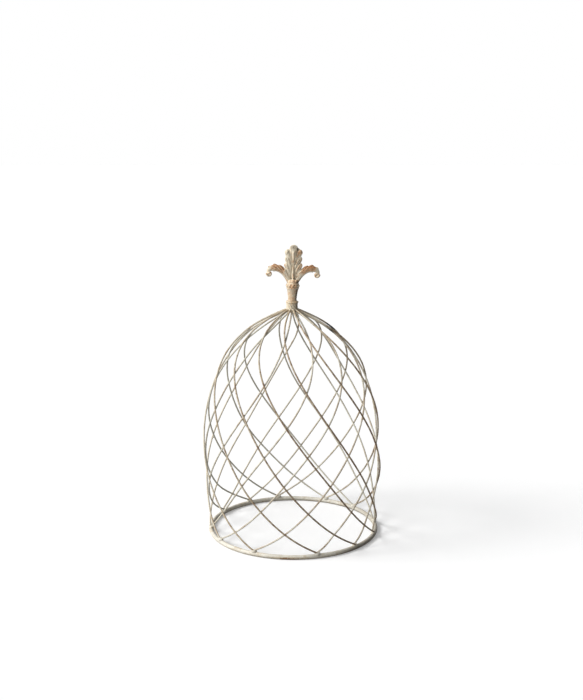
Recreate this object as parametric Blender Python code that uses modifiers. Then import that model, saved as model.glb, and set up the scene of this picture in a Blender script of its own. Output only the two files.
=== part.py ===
# Garden cloche: an open dome of two crossing layers of wire on a round base ring,
# gathered under a collar that carries a cast leaf finial.
# Metres, +Z up. The base ring rests on z = 0 and the footprint is centred on the origin.

import math

import bmesh
import bpy
from mathutils import Matrix, Vector
from mathutils.geometry import interpolate_bezier

MM = 0.001
MERGE_DISTANCE = 0.01 * MM

# Base ring
RING_RADIUS = 150 * MM
RING_ROD = 8 * MM
RING_SEGMENTS = 60
RING_SIDES = 12

# Wires
WIRE = 3 * MM
WIRE_STATIONS = 22
CLEARANCE = 0.3 * MM
TUBE_RESOLUTION = 2

# Dome profile, as heights above the middle of the ring rod; the crown carries the collar and finial
FOOT_HEIGHT = 5.8 * MM
FOOT_RISE = 60 * MM
BELLY_RADIUS = 157.5 * MM
BELLY_HEIGHT = 133 * MM
BELLY_DROP = 40 * MM
BELLY_RISE = 188 * MM
NECK_RADIUS = 10 * MM
NECK_HEIGHT = 403.5 * MM
NECK_REACH = 90 * MM
NECK_SLOPE = math.radians(23.5)
CROWN_HEIGHT = 405 * MM
PROFILE_POINTS = 241

# The dome leans a little to the left, most of all at its shoulder
NECK_LEAN = -2.4 * MM
DOME_SWAY = -4.5 * MM
SWAY_POWER = 6

# Feet of the wire pairs round the ring, in whole degrees, as the pairs were set by hand
FOOT_DEGREES = (7, 40, 65, 101, 124, 151, 187, 211, 243, 286, 316, 343)
FOOT_SWEEP = 0.165
FOOT_SWEEP_HEIGHT = 0.10

# Each layer: which side of the profile it takes, where its first wire aims at the neck,
# and how far its wires turn back as they near the neck, all in degrees
OUTER = {"side": 1, "aim": -107, "unwind": 0}
INNER = {"side": -1, "aim": 131, "unwind": -14}
UNWIND_POWER = 6

# Wires that were bent out of line by hand: share of the height where each strays most, and degrees
HAND_BENDS = {
    "outer_wire_06": [(0.15, 3)],
    "outer_wire_07": [(0.4, -9), (0.8, -5)],
    "outer_wire_08": [(0.6, -7)],
    "outer_wire_10": [(0.6, 3)],
    "outer_wire_11": [(0.65, 3)],
    "inner_wire_01": [(0.9, -8)],
    "inner_wire_03": [(0.7, -7)],
    "inner_wire_05": [(0.15, 4), (0.87, -5)],
    "inner_wire_07": [(0.7, 3)],
    "inner_wire_08": [(0.7, 3)],
    "inner_wire_09": [(0.7, 3)],
    "inner_wire_10": [(0.08, -4)],
    "inner_wire_11": [(0.12, -6), (0.65, 6)],
}
BEND_REACH = 0.4

# Collar: radii, and heights above the crown height
COLLAR_CORE = 6.8 * MM
COLLAR_TOP = 15 * MM
COLLAR_FOOT = -4 * MM
NOSE_RADIUS = 4.1 * MM
NOSE_EDGE = -5.5 * MM
NOSE_TIP = -6 * MM
RIM_RADIUS = 10.8 * MM
RIM_ROLL = 1.5 * MM
RIM_POINTS = 7
SOCKET_RADIUS = 4.8 * MM
SOCKET_DEPTH = 9 * MM

# The outer wires turn up at the neck and wind up the collar to its rim
CLIMB_BEND = 3 * MM
CLIMB_BEND_STEPS = 3
CLIMB_HEIGHT = 12.1 * MM
CLIMB_SWEEP = -42

# Finial stem: radii, and heights above the crown height
FINIAL_LEAN = math.radians(1.75)
SPIGOT_RADIUS = 4.2 * MM
SPIGOT_LENGTH = 8 * MM
SEAT_GAP = 0.55 * MM
STEM_BOTTOM = 7.7 * MM
STEM_WAIST = 8.6 * MM
STEM_TOP = 10.3 * MM
MOULDING_RADIUS = 12.3 * MM
MOULDING_LOW = 38.2 * MM
MOULDING_HIGH = 45.8 * MM
MOULDING_STEP = 1 * MM
MOULDING_ARC = 75
MOULDING_POINTS = 9
CUP_RADIUS = 9.9 * MM
CUP_EDGE = 7.7 * MM
CUP_TOP = 52 * MM
CUP_DROP = 1.5 * MM
TURNED_STEPS = 20

# Half thickness of the finial's lobes as a share of their half width
LEAF_FLAT = 0.52
ARM_FLAT = 0.66
RIB_PROUD = 2.1
RIDGE_PROUD = 1.5

# Leaf lobes, in millimetres beside and above the crown height:
# root, bend, tip, radius at the root, radius at the tip, flatness
MIDDLE_LOBES = {
    "top_lobe": ((0, 56), (0, 80), (0, 106.6), 3.5, 7.8, LEAF_FLAT),
    "middle_rib": ((0, 47), (0, 60), (0, 80), 2.4, 1.2, RIB_PROUD),
}
PAIRED_LOBES = {
    "upper_lobe": ((1.5, 66), (5, 90), (9.8, 100.4), 2.5, 6.2, LEAF_FLAT),
    "side_lobe": ((2.5, 57), (5.5, 78), (9.6, 89), 3, 6.1, LEAF_FLAT),
    "lower_lobe": ((4, 49), (7, 66), (11, 77.6), 3.5, 5.4, LEAF_FLAT),
    "root_ridge": ((5, 48), (8.5, 60), (15, 67.5), 1.9, 2.7, RIDGE_PROUD),
}
LOBE_POINTS = 5
ROUND_END_ANGLES = (35, 62, 82)

# Arms, in millimetres beside and above the crown height: a rise to the crest and a curl down to the end
ARM_RISE = ((6, 49.5), (12, 63), (22, 72.6), (32, 72.6))
ARM_CURL = ((32, 72.6), (39, 72.6), (43.9, 70), (43.9, 63.5))
RISE_POINTS = 7
CURL_POINTS = 6
ARM_ROOT_RADIUS = 5
ARM_CREST_RADIUS = 6.3
ARM_END_RADIUS = 2.55
LEAFLET_TIPS = ((24.5, 75.4), (33.5, 77), (41.5, 72.8))
LEAFLET_ROOT = (-9, -5)
LEAFLET_BEND = (-4, -0.5)
LEAFLET_RADII = (2, 3.3)
VOLUTE = (41.6, 62.2)
VOLUTE_SIZE = (5.7, 4.4)
VOLUTE_EYE_SIZE = (2.2, 5.4)

# Paint colours
CREAM = (0.62, 0.57, 0.46, 1)
WORN_BROWN = (0.38, 0.30, 0.22, 1)
PALE_BEIGE = (0.50, 0.44, 0.34, 1)
KHAKI = (0.48, 0.45, 0.34, 1)
AGED_CREAM = (0.55, 0.50, 0.38, 1)


def clear_scene():
    for item in list(bpy.data.objects):
        bpy.data.objects.remove(item, do_unlink=True)


def new_collection(name):
    collection = bpy.data.collections.new(name)
    bpy.context.scene.collection.children.link(collection)
    return collection


def paint(name, colour, roughness):
    material = bpy.data.materials.new(name)
    material.use_nodes = True
    shader = material.node_tree.nodes["Principled BSDF"]
    shader.inputs["Base Color"].default_value = colour
    shader.inputs["Roughness"].default_value = roughness
    shader.inputs["Metallic"].default_value = 0.0
    return material


def add_object(name, data, collection, material=None):
    item = bpy.data.objects.new(name, data)
    collection.objects.link(item)
    if material:
        data.materials.append(material)
    return item


def smooth(mesh, degrees=40):
    mesh.shade_smooth()
    mesh.set_sharp_from_angle(angle=math.radians(degrees))


# A shape turned about Z from a profile in the XZ plane
def turned(name, points, steps, collection, material, closed=False):
    count = len(points)
    edges = [(i, i + 1) for i in range(count - 1)]
    if closed:
        edges.append((count - 1, 0))
    mesh = bpy.data.meshes.new(name)
    mesh.from_pydata([(x, 0, z) for x, z in points], edges, [])
    item = add_object(name, mesh, collection, material)
    screw = item.modifiers.new("Turn", "SCREW")
    screw.axis = "Z"
    screw.steps = steps
    screw.render_steps = steps
    screw.use_merge_vertices = True
    screw.merge_threshold = MERGE_DISTANCE
    screw.use_smooth_shade = True
    return item


# A tube along points, with a radius at each of them
def tube(name, points, radii, collection, material=None):
    curve = bpy.data.curves.new(name, "CURVE")
    curve.dimensions = "3D"
    curve.bevel_depth = 1
    curve.bevel_resolution = TUBE_RESOLUTION
    curve.use_fill_caps = True
    spline = curve.splines.new("POLY")
    spline.points.add(len(points) - 1)
    for place, point, radius in zip(spline.points, points, radii):
        place.co = (*point, 1)
        place.radius = radius
    spline.use_smooth = True
    return add_object(name, curve, collection, material)


# Base ring: a rod with a flat underside facet, turned about the axis
def build_ring(collection, middle, material):
    corner = RING_ROD / 2 / math.cos(math.pi / RING_SIDES)
    profile = []
    for i in range(RING_SIDES):
        angle = (0.5 - i) * math.tau / RING_SIDES
        profile.append((RING_RADIUS + corner * math.cos(angle), corner * math.sin(angle)))
    ring = turned("base_ring", profile, RING_SEGMENTS, collection, material, closed=True)
    ring.location = (-middle.x, -middle.y, RING_ROD / 2)


# Dome profile from the foot to the neck: points as radius and height, with outward normals
def dome_profile():
    foot = Vector((RING_RADIUS, FOOT_HEIGHT))
    foot_handle = foot + Vector((0, FOOT_RISE))
    belly = Vector((BELLY_RADIUS, BELLY_HEIGHT))
    low_handle = belly - Vector((0, BELLY_DROP))
    high_handle = belly + Vector((0, BELLY_RISE))
    neck = Vector((NECK_RADIUS, NECK_HEIGHT))
    neck_handle = neck + NECK_REACH * Vector((math.cos(NECK_SLOPE), -math.sin(NECK_SLOPE)))
    lower = interpolate_bezier(foot, foot_handle, low_handle, belly, PROFILE_POINTS)
    upper = interpolate_bezier(belly, high_handle, neck_handle, neck, PROFILE_POINTS)
    line = list(lower) + list(upper[1:])
    profile = []
    for i, point in enumerate(line):
        along = line[min(i + 1, len(line) - 1)] - line[max(i - 1, 0)]
        normal = Vector((along.y, -along.x)).normalized()
        profile.append((point, normal))
    return profile


# How far round its sweep a wire has gone at a share of the dome's height
def sweep(share):
    return (1 - FOOT_SWEEP) * share + FOOT_SWEEP * (1 - math.exp(-share / FOOT_SWEEP_HEIGHT))


# A smooth swell, from 0 at the foot to 1 at its peak and back to 0 at the neck
def swell(share, peak):
    room = peak if share < peak else 1 - peak
    away = abs(share - peak) / min(room, BEND_REACH)
    return (1 + math.cos(math.pi * min(away, 1))) / 2


# Sideways lean of the dome at a share of its height
def lean(share):
    return NECK_LEAN * share + DOME_SWAY * share * (1 - share ** SWAY_POWER)


# A wire's middle line over the whole dome, on its layer's side of the profile
def wire_path(profile, foot, aim, layer, bends=()):
    offset = layer["side"] * (WIRE + CLEARANCE) / 2
    path = []
    for point, normal in profile:
        share = (point.y - FOOT_HEIGHT) / (NECK_HEIGHT - FOOT_HEIGHT)
        degrees = foot + (aim - foot) * sweep(share) + layer["unwind"] * share ** UNWIND_POWER
        for peak, stray in bends:
            degrees += stray * swell(share, peak)
        azimuth = math.radians(degrees)
        radius = point.x + offset * normal.x
        x = lean(share) + radius * math.cos(azimuth)
        y = radius * math.sin(azimuth)
        path.append(Vector((x, y, RING_ROD / 2 + point.y + offset * normal.y)))
    return path


# Places along the profile that are evenly spaced along a typical wire
def stations(profile):
    path = wire_path(profile, 0, OUTER["aim"], OUTER)
    lengths = [0]
    for before, after in zip(path, path[1:]):
        lengths.append(lengths[-1] + (after - before).length)
    picked = []
    for i in range(WIRE_STATIONS):
        goal = lengths[-1] * i / (WIRE_STATIONS - 1)
        picked.append(min(range(len(path)), key=lambda k: abs(lengths[k] - goal)))
    return [profile[k] for k in picked]


# The end of an outer wire: a bend that turns it upward, then a slant up the side of the collar
def climb(top):
    outward = Vector((math.sin(NECK_SLOPE), math.cos(NECK_SLOPE)))
    start = Vector((NECK_RADIUS, NECK_HEIGHT)) + (WIRE + CLEARANCE) / 2 * outward
    centre = start + CLIMB_BEND * outward
    section = []
    for i in range(1, CLIMB_BEND_STEPS + 1):
        angle = NECK_SLOPE + (math.pi / 2 - NECK_SLOPE) * i / CLIMB_BEND_STEPS
        section.append(centre - CLIMB_BEND * Vector((math.sin(angle), math.cos(angle))))
    side = section[-1].x
    end = NECK_HEIGHT + CLIMB_HEIGHT
    section.append(Vector((side, (section[-1].y + end) / 2)))
    section.append(Vector((side, end)))
    path = []
    for place in section:
        share = (place.y - start.y) / (end - start.y)
        azimuth = math.radians(top + CLIMB_SWEEP * share)
        x = NECK_LEAN + place.x * math.cos(azimuth)
        path.append(Vector((x, place.x * math.sin(azimuth), RING_ROD / 2 + place.y)))
    return path


# Name, layer and route of every wire
def wire_routes():
    places = stations(dome_profile())
    routes = []
    for layer_name, layer in (("outer", OUTER), ("inner", INNER)):
        for i, foot in enumerate(FOOT_DEGREES):
            name = f"{layer_name}_wire_{i + 1:02d}"
            aim = layer["aim"] + i * 360 / len(FOOT_DEGREES)
            path = wire_path(places, foot, aim, layer, HAND_BENDS.get(name, ()))
            if layer is OUTER:
                path += climb(aim)
            routes.append((name, layer_name, path))
    return routes


# Middle of the footprint, which sets where the origin stands
def footprint_middle(routes):
    xs = [point.x for _, _, path in routes for point in path]
    ys = [point.y for _, _, path in routes for point in path]
    return Vector(((min(xs) + max(xs)) / 2, (min(ys) + max(ys)) / 2, 0))


def build_wires(collection, routes, middle, materials):
    for name, layer_name, path in routes:
        points = [point - middle for point in path]
        tube(name, points, [WIRE / 2] * len(points), collection, materials[layer_name])


# Points of an elliptical arc, from one angle to another in degrees
def arc(centre, half_width, half_height, start, end, count):
    points = []
    for i in range(count):
        angle = math.radians(start + (end - start) * i / (count - 1))
        x = centre[0] + half_width * math.cos(angle)
        z = centre[1] + half_height * math.sin(angle)
        points.append((x, z))
    return points


# Collar: a turned sleeve with a socket for the finial and a rolled rim that the outer wires end under
def build_collar(collection, crown, material):
    floor = COLLAR_TOP - SOCKET_DEPTH
    roll_centre = (RIM_RADIUS - RIM_ROLL, COLLAR_TOP - RIM_ROLL)
    profile = [(0, floor), (SOCKET_RADIUS, floor), (SOCKET_RADIUS, COLLAR_TOP)]
    profile += arc(roll_centre, RIM_ROLL, RIM_ROLL, 90, -90, RIM_POINTS)
    profile += [(COLLAR_CORE, COLLAR_TOP - 2 * RIM_ROLL), (COLLAR_CORE, COLLAR_FOOT)]
    profile += [(NOSE_RADIUS, NOSE_EDGE), (0, NOSE_TIP)]
    collar = turned("collar", profile, TURNED_STEPS, collection, material)
    collar.location = crown


# A curve as a closed mesh: caps welded, depth scaled, kept with the cutters
def as_solid(curve_object, flatness):
    depsgraph = bpy.context.evaluated_depsgraph_get()
    mesh = bpy.data.meshes.new_from_object(curve_object.evaluated_get(depsgraph))
    work = bmesh.new()
    work.from_mesh(mesh)
    bmesh.ops.remove_doubles(work, verts=work.verts, dist=MERGE_DISTANCE)
    bmesh.ops.transform(work, matrix=Matrix.Diagonal((1, flatness, 1, 1)), verts=work.verts)
    work.to_mesh(mesh)
    work.free()
    smooth(mesh)
    solid = bpy.data.objects.new(curve_object.name + "_solid", mesh)
    solid.matrix_world = curve_object.matrix_world
    curve_object.users_collection[0].objects.link(solid)
    bpy.data.objects.remove(curve_object)
    return solid


# A leaf lobe, in millimetres: a flattened tube that widens along a bend and ends round
def lobe(name, shape, cutters, side=1):
    root, bend, tip, root_radius, tip_radius, flatness = shape
    root, bend, tip = Vector(root), Vector(bend), Vector(tip)
    points = []
    radii = []
    for i in range(LOBE_POINTS):
        share = i / (LOBE_POINTS - 1)
        start = root.lerp(bend, share)
        points.append(start.lerp(bend.lerp(tip, share), share))
        radii.append(root_radius + (tip_radius - root_radius) * share)
    ahead = (tip - bend).normalized()
    for degrees in ROUND_END_ANGLES:
        angle = math.radians(degrees)
        points.append(tip + ahead * tip_radius * math.sin(angle))
        radii.append(tip_radius * math.cos(angle))
    route = [(side * point.x * MM, 0, point.y * MM) for point in points]
    curve = tube(name, route, [radius * MM for radius in radii], cutters)
    return as_solid(curve, flatness)


# A flattened ball, in millimetres
def ball(name, centre, size, cutters):
    radius, depth = size
    mesh = bpy.data.meshes.new(name)
    work = bmesh.new()
    bmesh.ops.create_uvsphere(work, u_segments=16, v_segments=8, radius=MM)
    place = Matrix.Translation((centre[0] * MM, 0, centre[1] * MM))
    turn = Matrix.Rotation(math.pi / 2, 4, "X")
    stretch = Matrix.Diagonal((radius, depth, radius, 1))
    bmesh.ops.transform(work, matrix=place @ stretch @ turn, verts=work.verts)
    work.to_mesh(mesh)
    work.free()
    smooth(mesh)
    return add_object(name, mesh, cutters)


# The leaf: one top lobe, three lobes a side, a proud middle rib and a ridge over the root of each arm
def build_leaf(cutters):
    for name, shape in MIDDLE_LOBES.items():
        lobe(name, shape, cutters)
    for side in (-1, 1):
        for name, shape in PAIRED_LOBES.items():
            lobe(name, shape, cutters, side)


# An arm: a tapered curl that ends in a volute, with three leaflets along its top
def build_arm(cutters, side):
    rise = list(interpolate_bezier(*[Vector(point) for point in ARM_RISE], RISE_POINTS))
    curl = list(interpolate_bezier(*[Vector(point) for point in ARM_CURL], CURL_POINTS))[1:]
    radii = []
    for i in range(len(rise)):
        share = i / (len(rise) - 1)
        radii.append(ARM_ROOT_RADIUS + (ARM_CREST_RADIUS - ARM_ROOT_RADIUS) * share)
    for i in range(len(curl)):
        share = (i + 1) / len(curl)
        radii.append(ARM_CREST_RADIUS + (ARM_END_RADIUS - ARM_CREST_RADIUS) * share)
    route = [(side * point.x * MM, 0, point.y * MM) for point in rise + curl]
    curve = tube("arm", route, [radius * MM for radius in radii], cutters)
    as_solid(curve, ARM_FLAT)
    for x, z in LEAFLET_TIPS:
        root = (x + LEAFLET_ROOT[0], z + LEAFLET_ROOT[1])
        bend = (x + LEAFLET_BEND[0], z + LEAFLET_BEND[1])
        lobe("leaflet", (root, bend, (x, z), *LEAFLET_RADII, ARM_FLAT), cutters, side)
    centre = (side * VOLUTE[0], VOLUTE[1])
    ball("volute", centre, VOLUTE_SIZE, cutters)
    ball("volute_eye", centre, VOLUTE_EYE_SIZE, cutters)


# Outline of the finial's turned stem, from the cup's top down to the spigot's end
def stem_profile():
    seat = COLLAR_TOP + SEAT_GAP
    spigot_end = seat - SPIGOT_LENGTH
    moulding_middle = (STEM_TOP, (MOULDING_LOW + MOULDING_HIGH) / 2)
    proud = MOULDING_RADIUS - STEM_TOP
    half = (MOULDING_HIGH - MOULDING_LOW) / 2
    profile = [(0, CUP_TOP), (CUP_EDGE, CUP_TOP - CUP_DROP)]
    profile += [(CUP_RADIUS, MOULDING_HIGH + MOULDING_STEP)]
    profile += arc(moulding_middle, proud, half, MOULDING_ARC, -MOULDING_ARC, MOULDING_POINTS)
    profile += [(STEM_TOP, MOULDING_LOW - MOULDING_STEP)]
    profile += [(STEM_WAIST, (seat + MOULDING_LOW) / 2), (STEM_BOTTOM, seat)]
    profile += [(SPIGOT_RADIUS, seat), (SPIGOT_RADIUS, spigot_end), (0, spigot_end)]
    return profile


# Finial: a turned stem with a ring moulding, joined with the leaf and the arms into one casting
def build_finial(collection, cutters, crown, material):
    finial = turned("finial", stem_profile(), TURNED_STEPS, collection, material)
    build_leaf(cutters)
    build_arm(cutters, -1)
    build_arm(cutters, 1)
    for cutter in cutters.objects:
        cutter.hide_render = True
        cutter.display_type = "WIRE"
        cutter.parent = finial
    join = finial.modifiers.new("Join leaf and arms", "BOOLEAN")
    join.operation = "UNION"
    join.operand_type = "COLLECTION"
    join.collection = cutters
    join.solver = "EXACT"
    finial.location = crown
    finial.rotation_euler = (0, FINIAL_LEAN, 0)


def main():
    clear_scene()
    cloche = new_collection("garden_cloche")
    cutters = new_collection("cutters")
    paints = {
        "outer": paint("outer_wire_paint", WORN_BROWN, 0.6),
        "inner": paint("inner_wire_paint", PALE_BEIGE, 0.6),
    }
    routes = wire_routes()
    middle = footprint_middle(routes)
    build_ring(cloche, middle, paint("ring_paint", KHAKI, 0.6))
    build_wires(cloche, routes, middle, paints)
    crown = Vector((NECK_LEAN, 0, RING_ROD / 2 + CROWN_HEIGHT)) - middle
    build_collar(cloche, crown, paint("collar_paint", AGED_CREAM, 0.6))
    build_finial(cloche, cutters, crown, paint("finial_paint", CREAM, 0.65))


main()
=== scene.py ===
import math
import random

import bpy
import numpy as np
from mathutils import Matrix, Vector
from mathutils.geometry import interpolate_bezier


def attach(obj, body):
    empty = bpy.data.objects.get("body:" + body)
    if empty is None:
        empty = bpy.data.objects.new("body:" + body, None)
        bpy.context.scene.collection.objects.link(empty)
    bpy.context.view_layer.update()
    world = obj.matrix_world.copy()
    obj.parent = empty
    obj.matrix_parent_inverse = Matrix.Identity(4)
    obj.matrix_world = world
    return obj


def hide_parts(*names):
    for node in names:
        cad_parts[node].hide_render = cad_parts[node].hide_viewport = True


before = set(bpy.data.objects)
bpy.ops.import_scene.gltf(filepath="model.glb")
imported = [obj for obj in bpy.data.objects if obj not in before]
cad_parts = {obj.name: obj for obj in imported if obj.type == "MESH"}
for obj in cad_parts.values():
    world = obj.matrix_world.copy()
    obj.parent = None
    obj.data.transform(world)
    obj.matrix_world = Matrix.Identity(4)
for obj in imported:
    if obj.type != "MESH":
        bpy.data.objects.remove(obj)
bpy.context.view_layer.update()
print("frame loaded:", len(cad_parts), "nodes")


def boxOf(node):  # middle and size of a node of the frame
    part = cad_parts[node]
    corners = [part.matrix_world @ Vector(corner) for corner in part.bound_box]
    low = Vector([min(values) for values in zip(*corners)])
    high = Vector([max(values) for values in zip(*corners)])
    return (low + high) / 2, high - low


def tint(red, green, blue):  # a colour as it shows on screen, 0 to 255, turned to scene values
    levels = [value / 255 for value in (red, green, blue)]
    return tuple(v / 12.92 if v <= 0.04045 else ((v + 0.055) / 1.055) ** 2.4 for v in levels) + (1,)


ringMiddle, ringSize = boxOf("base_ring")


# Camera, light and floor
view = {
    "target": ringMiddle, "pitch": math.radians(13.03), "distance": 2.328, "lift": 0.3225, "aside": 0.0032,
    "lens": 65.285, "sensor": 36, "farthest": 50,
}


def setCamera():
    pitch = view["pitch"]
    forward = Vector((0, math.cos(pitch), -math.sin(pitch)))
    upward = Vector((0, math.sin(pitch), math.cos(pitch)))
    place = view["target"] - forward * view["distance"] + upward * view["lift"]
    place -= Vector((view["aside"], 0, 0))
    bpy.ops.object.camera_add(location=place, rotation=(math.pi / 2 - pitch, 0, 0))
    camera = bpy.context.object
    camera.data.lens = view["lens"]
    camera.data.sensor_width = view["sensor"]
    camera.data.clip_end = view["farthest"]
    bpy.context.scene.camera = camera
    bpy.context.scene.view_settings.view_transform = "Standard"


studio = {
    "suns": {  # where each one shines from, its strength, and its width in degrees
        "key": ((-1.0, -0.14, 0.78), 2.9, 24),
        "top": ((-0.35, 0.25, 1.0), 0.4, 110),
        "front": ((-1.1, -1.0, 0.45), 1.9, 70),
    },
    "sunAway": 3, "fill": 0.08, "fillTint": (0.97, 0.99, 1.0, 1), "white": (1, 1, 1, 1),
    "floorSize": 16, "floorDrop": 0.0002, "floorLift": 0.262,
    "floorSeen": (0.8, 0.8, 0.8, 1), "floorBounce": (0.32, 0.32, 0.3136, 1),
}


def addNode(tree, kind, values=None, **settings):
    node = tree.nodes.new(kind)
    for name, value in settings.items():
        setattr(node, name, value)
    for name, value in (values or {}).items():
        if isinstance(value, bpy.types.NodeSocket):
            tree.links.new(value, node.inputs[name])
        else:
            node.inputs[name].default_value = value
    return node


def mathNode(tree, operation, first, second, clamp=False):
    node = addNode(tree, "ShaderNodeMath", {0: first, 1: second}, operation=operation, use_clamp=clamp)
    return node.outputs[0]


def addSuns():
    for place, strength, width in studio["suns"].values():
        aim = Vector(place)
        turn = aim.to_track_quat("Z", "Y").to_euler()
        bpy.ops.object.light_add(type="SUN", location=aim * studio["sunAway"], rotation=turn)
        bpy.context.object.data.energy = strength
        bpy.context.object.data.angle = math.radians(width)


def mixSeen(tree, lighting, seen):  # the second shader for the eye, a reflection or glass, else the first
    path = addNode(tree, "ShaderNodeLightPath").outputs
    either = mathNode(tree, "MAXIMUM", path["Is Camera Ray"], path["Is Glossy Ray"])
    share = mathNode(tree, "MAXIMUM", either, path["Is Transmission Ray"])
    return addNode(tree, "ShaderNodeMixShader", {0: share, 1: lighting, 2: seen}).outputs[0]


def setWorld():
    world = bpy.data.worlds.new("studio")
    bpy.context.scene.world = world
    world.use_nodes = True
    tree = world.node_tree
    tree.nodes.clear()
    grey = addNode(tree, "ShaderNodeBackground", {"Color": studio["fillTint"], "Strength": studio["fill"]})
    white = addNode(tree, "ShaderNodeBackground", {"Color": studio["white"], "Strength": 1.0})
    mix = mixSeen(tree, grey.outputs[0], white.outputs[0])
    addNode(tree, "ShaderNodeOutputWorld", {"Surface": mix})


def addFloor():
    bpy.ops.mesh.primitive_plane_add(size=studio["floorSize"], location=(0, 0, -studio["floorDrop"]))
    floor = bpy.context.object
    floor.name = "floor"
    material = bpy.data.materials.new("floorWhite")
    material.use_nodes = True
    tree = material.node_tree
    tree.nodes.clear()
    bright = addNode(tree, "ShaderNodeBsdfDiffuse", {"Color": studio["floorSeen"]})
    glow = addNode(tree, "ShaderNodeEmission", {"Color": studio["white"], "Strength": studio["floorLift"]})
    shown = addNode(tree, "ShaderNodeAddShader", {0: bright.outputs[0], 1: glow.outputs[0]})
    dim = addNode(tree, "ShaderNodeBsdfDiffuse", {"Color": studio["floorBounce"]})
    mix = mixSeen(tree, dim.outputs[0], shown.outputs[0])
    addNode(tree, "ShaderNodeOutputMaterial", {"Surface": mix})
    floor.data.materials.append(material)


setCamera()
addSuns()
setWorld()
addFloor()
print("camera, light and floor set")


# Finishes
def newGroup(name, inputs, outputs):  # names of the sockets, by kind
    tree = bpy.data.node_groups.new(name, "ShaderNodeTree")
    for side, kinds in (("INPUT", inputs), ("OUTPUT", outputs)):
        for kind, sockets in kinds.items():
            for socket in sockets:
                tree.interface.new_socket(name=socket, in_out=side, socket_type=f"NodeSocket{kind}")
    return tree, tree.nodes.new("NodeGroupInput").outputs, tree.nodes.new("NodeGroupOutput")


def add(tree, first, second, clamp=False):
    return mathNode(tree, "ADD", first, second, clamp)


def multiply(tree, first, second, clamp=False):
    return mathNode(tree, "MULTIPLY", first, second, clamp)


def mixColour(tree, share, first, second, blend="MIX"):
    values = {0: share, 6: first, 7: second}
    return addNode(tree, "ShaderNodeMix", values, data_type="RGBA", blend_type=blend).outputs[2]


def mapRange(tree, value, given, wanted=(0, 1), **settings):
    values = dict(zip(("Value", "From Min", "From Max", "To Min", "To Max"), (value, *given, *wanted)))
    return addNode(tree, "ShaderNodeMapRange", values, **settings).outputs[0]


def noise(tree, place, scale, detail, roughness, distortion=0.0):
    values = {"Vector": place, "Scale": scale, "Detail": detail, "Roughness": roughness,
              "Distortion": distortion}
    return addNode(tree, "ShaderNodeTexNoise", values).outputs[0]


def pointValue(tree, name):  # a value stored on the mesh's points
    return addNode(tree, "ShaderNodeAttribute", attribute_name=name).outputs["Fac"]


patchLook = {
    "broad": (5.0, 0.62, 0.5), "broadShare": 0.72,  # detail, roughness and distortion of the large noise
    "fine": (3.0, 0.7), "fineScale": 4.3,
    "bareLimit": 0.72, "fullDrop": 0.44,  # the level that noise has to pass at no amount, and its drop at 1
}


def patchMaskGroup():  # ragged patches: where paint has gone, or a stain has crept
    look = patchLook
    tree, given, result = newGroup(
        "patchMask", {"Vector": ["Place"], "Float": ["Scale", "Amount", "Edge"]}, {"Float": ["Mask"]})
    broad = noise(tree, given["Place"], given["Scale"], *look["broad"])
    fine = noise(tree, given["Place"], multiply(tree, given["Scale"], look["fineScale"]), *look["fine"])
    broadPart = multiply(tree, broad, look["broadShare"])
    level = add(tree, broadPart, multiply(tree, fine, 1 - look["broadShare"]))
    drop = multiply(tree, given["Amount"], look["fullDrop"])
    limit = mathNode(tree, "SUBTRACT", look["bareLimit"], drop)
    low = mathNode(tree, "SUBTRACT", limit, given["Edge"])
    high = add(tree, limit, given["Edge"])
    mask = mapRange(tree, level, (low, high), interpolation_type="SMOOTHSTEP")
    tree.links.new(mask, result.inputs["Mask"])
    return tree


agedAndShadeLook = {
    "blotch": (4.0, 0.55), "blotchScale": 0.8, "speck": (2.0, 0.5), "speckScale": 9.0,
    "shadeFrom": (0.32, 0.68), "shadeTo": (0.84, 1.07),
    "grainFrom": (0.3, 0.7), "grainTo": (0.9, 1.06),
    "darkeningFrom": (0.3, 0.7), "darkeningTo": (0.55, 1.0),
    "Stain": {"scale": 1.0, "edge": 0.075, "proud": 0.25},
    "Rust": {"scale": 2.6, "edge": 0.035, "proud": 0.35},
    "rustShift": (0.37, 0.11, 0.23),
    "rough": 0.52, "rustRough": 0.3, "darkeningRough": 0.15,
    "speckHeight": 0.45, "blotchHeight": 0.5,
}


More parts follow.
